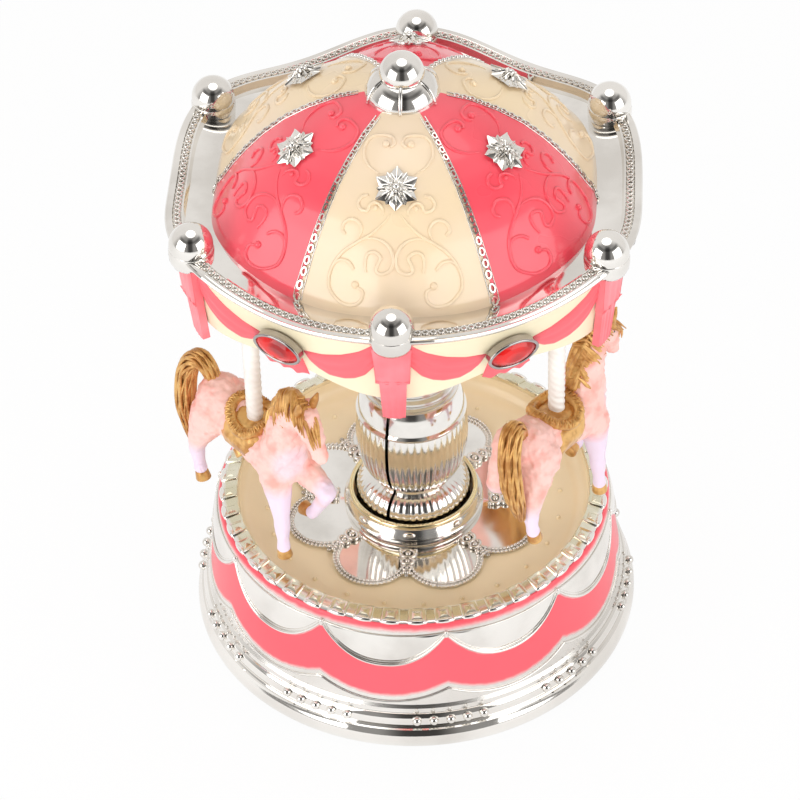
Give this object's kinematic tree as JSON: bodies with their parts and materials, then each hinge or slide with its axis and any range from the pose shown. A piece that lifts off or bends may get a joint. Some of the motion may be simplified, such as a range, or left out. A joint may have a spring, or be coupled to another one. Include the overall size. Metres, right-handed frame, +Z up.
{
  "type": "carousel music box",
  "caption": "Wind-up carousel music box: a round swagged base drives a fluted column with a lobed canopy and hanging horses on twisted poles.",
  "frame": {"origin": "middle of the base, on the surface that it stands on", "axes": "+Z up along the column; the front corner ball of the canopy lies towards -Y"},
  "size_m": [0.1221, 0.1278, 0.1859],
  "materials": {
    "plated": "bright plated plastic",
    "floor_tan": "pearl tan, satin",
    "cover_grey": "matte moulded",
    "cream": "matte painted",
    "pink": "satin painted, panels pink and pearl cream",
    "soft_pink": "matte painted",
    "ruby": "clear red, faceted",
    "pole_white": "satin moulded",
    "horse_pink": "matte painted, gold mane, tail, saddle and hooves",
    "movement_brass": "plain",
    "movement_steel": "plain"
  },
  "bodies": {
    "base": {"base_shell": "plated", "swag_trim": "plated", "floor_plate": "floor_tan", "petal_rosette": "plated", "tile_edging": "plated", "collar": "plated", "bottom_cover": "cover_grey", "cover_screws": "movement_steel", "bedplate": "movement_brass", "bedplate_screws": "movement_steel", "music_comb": "movement_steel", "comb_screws": "movement_steel", "cylinder_brackets": "movement_brass", "spindle_bridge": "movement_brass", "governor_frame": "movement_brass", "clutch_spring": "movement_steel"},
    "key": {"winding_key": "movement_steel", "winding_arbor": "movement_steel"},
    "cylinder": {"music_cylinder": "movement_brass", "cylinder_arbor": "movement_steel", "cylinder_wheel": "movement_brass"},
    "governor": {"governor_arbor": "movement_brass"},
    "fan": {"fan_spindle": "movement_steel"},
    "carousel": {"spring_barrel": "movement_brass", "mainspring": "movement_steel", "drive_spindle": "movement_steel", "column_half_a": "plated", "column_half_b": "plated", "column_sleeve": "plated", "canopy_ceiling": "cream", "ceiling_screws": "movement_steel", "canopy_posts": "cream", "valance": "cream", "tassels": "soft_pink", "canopy_tray": "plated", "corner_balls": "plated", "dome": "pink", "rib_chains": "plated", "flower_studs": "plated", "crown_finial": "plated", "gem_bezels": "plated", "gems": "ruby", "pole_1": "pole_white", "pole_2": "pole_white", "pole_3": "pole_white", "horse_1": "horse_pink", "horse_2": "horse_pink", "horse_3": "horse_pink"}
  },
  "joints": [
    {"name": "carousel_spin", "type": "hinge", "parent": "base", "child": "carousel", "pos_m": [0, 0, 0.1], "axis": [0, 0, 1], "continuous": true},
    {"name": "key_wind", "type": "hinge", "parent": "base", "child": "key", "pos_m": [0, 0, 0.004], "axis": [0, 0, 1], "continuous": true},
    {"name": "cylinder_spin", "type": "hinge", "parent": "base", "child": "cylinder", "pos_m": [0.0184, 0, 0.02054], "axis": [1, 0, 0], "continuous": true},
    {"name": "governor_spin", "type": "hinge", "parent": "base", "child": "governor", "pos_m": [0.03882, -0.008, 0.02054], "axis": [1, 0, 0], "continuous": true},
    {"name": "fan_spin", "type": "hinge", "parent": "base", "child": "fan", "pos_m": [0.04242, -0.0133, 0.02054], "axis": [0, 0, 1], "continuous": true}
  ],
  "couplings": [
    {"joint": "cylinder_spin", "follows": "carousel_spin", "ratio": 4},
    {"joint": "governor_spin", "follows": "carousel_spin", "ratio": -12},
    {"joint": "fan_spin", "follows": "carousel_spin", "ratio": 240}
  ]
}
